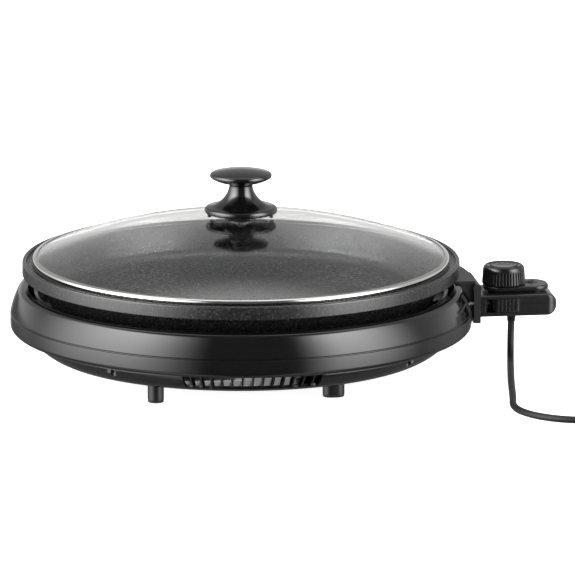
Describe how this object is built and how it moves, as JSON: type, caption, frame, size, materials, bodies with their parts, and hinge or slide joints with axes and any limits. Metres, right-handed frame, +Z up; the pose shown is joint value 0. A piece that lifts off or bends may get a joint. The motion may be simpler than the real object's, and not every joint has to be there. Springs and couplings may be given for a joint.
{
  "type": "electric griddle",
  "caption": "Round countertop electric griddle with a domed glass lid and knob, a cast pan in a black body on feet, and a plug-in heat controller with dial and cord.",
  "frame": {"origin": "on the pan's axis, level with the surface that the feet stand on", "axes": "+Z up along the pan's axis, +X from the pan's axis to the plug-in controller"},
  "size_m": [0.5621, 0.4528, 0.1781],
  "materials": {
    "body_plastic": "polished black moulded plastic",
    "plated_steel": "zinc-plated steel",
    "foot_plastic": "satin black plastic",
    "foot_rubber": "matt rubber",
    "shield_sheet": "spun aluminium sheet",
    "socket_plastic": "matt black phenolic",
    "pan_coating": "speckled non-stick coating on cast aluminium",
    "heater_sheath": "heat-darkened sheath",
    "pin_brass": "nickel-plated brass",
    "ceramic_white": "unglazed ceramic",
    "lid_glass": "clear tempered glass",
    "lid_steel": "polished stainless steel",
    "knob_plastic": "polished black phenolic",
    "silicone_black": "matt silicone",
    "controller_plastic": "satin black moulded plastic",
    "lens_amber": "clear amber plastic lens",
    "lamp_glass": "clear glass",
    "cord_vinyl": "black vinyl",
    "tie_vinyl": "black vinyl tie",
    "dial_plastic": "black moulded plastic with a bright rim"
  },
  "bodies": {
    "griddle": {"body_upper_shell": "body_plastic", "body_lower_shell": "body_plastic", "body_screws": "plated_steel", "feet": "foot_plastic", "foot_pads": "foot_rubber", "foot_screws": "plated_steel", "heat_shield": "shield_sheet", "shield_spacers": "plated_steel", "pan_spacers": "plated_steel", "pan_screws": "plated_steel", "controller_socket": "socket_plastic", "socket_screws": "plated_steel", "griddle_pan": "pan_coating", "heating_element": "heater_sheath", "heater_straps": "plated_steel", "terminal_pins": "pin_brass", "pin_insulators": "ceramic_white", "terminal_guard": "plated_steel", "guard_screws": "plated_steel", "probe_receiver": "plated_steel"},
    "lid": {"lid_glass": "lid_glass", "lid_ring": "lid_steel", "knob_base": "knob_plastic", "knob_cap": "knob_plastic", "knob_gasket": "silicone_black", "knob_washer": "lid_steel", "inner_gasket": "silicone_black", "inner_washer": "plated_steel", "knob_screw": "plated_steel"},
    "controller": {"controller_lower_shell": "controller_plastic", "controller_upper_shell": "controller_plastic", "controller_top_cover": "controller_plastic", "controller_nose": "socket_plastic", "controller_screws": "plated_steel", "socket_terminals": "pin_brass", "heat_probe": "plated_steel", "thermostat_frame": "plated_steel", "contact_blade": "pin_brass", "pilot_lens": "lens_amber", "pilot_bulb": "lamp_glass", "cord_gland": "cord_vinyl", "power_cord": "cord_vinyl", "cord_coil": "cord_vinyl", "cord_tie": "tie_vinyl", "cord_tail": "cord_vinyl", "plug_body": "cord_vinyl", "plug_blades": "pin_brass"},
    "dial": {"dial": "dial_plastic", "dial_insert": "dial_plastic", "dial_spindle": "plated_steel"},
    "catch": {"slide_catch": "controller_plastic"}
  },
  "joints": [
    {"name": "lid_lift", "type": "slide", "parent": "griddle", "child": "lid", "axis": [0, 0, 1], "range_m": [0, 0.16]},
    {"name": "controller_pull", "type": "slide", "parent": "griddle", "child": "controller", "axis": [1, 0, 0], "range_m": [0, 0.085]},
    {"name": "dial_turn", "type": "hinge", "parent": "controller", "child": "dial", "pos_m": [0.2312, 0, 0.0784], "axis": [0, 0, 1], "range_deg": [-280, 0]},
    {"name": "catch_slide", "type": "slide", "parent": "controller", "child": "catch", "axis": [-1, 0, 0], "range_m": [0, 0.009]}
  ]
}
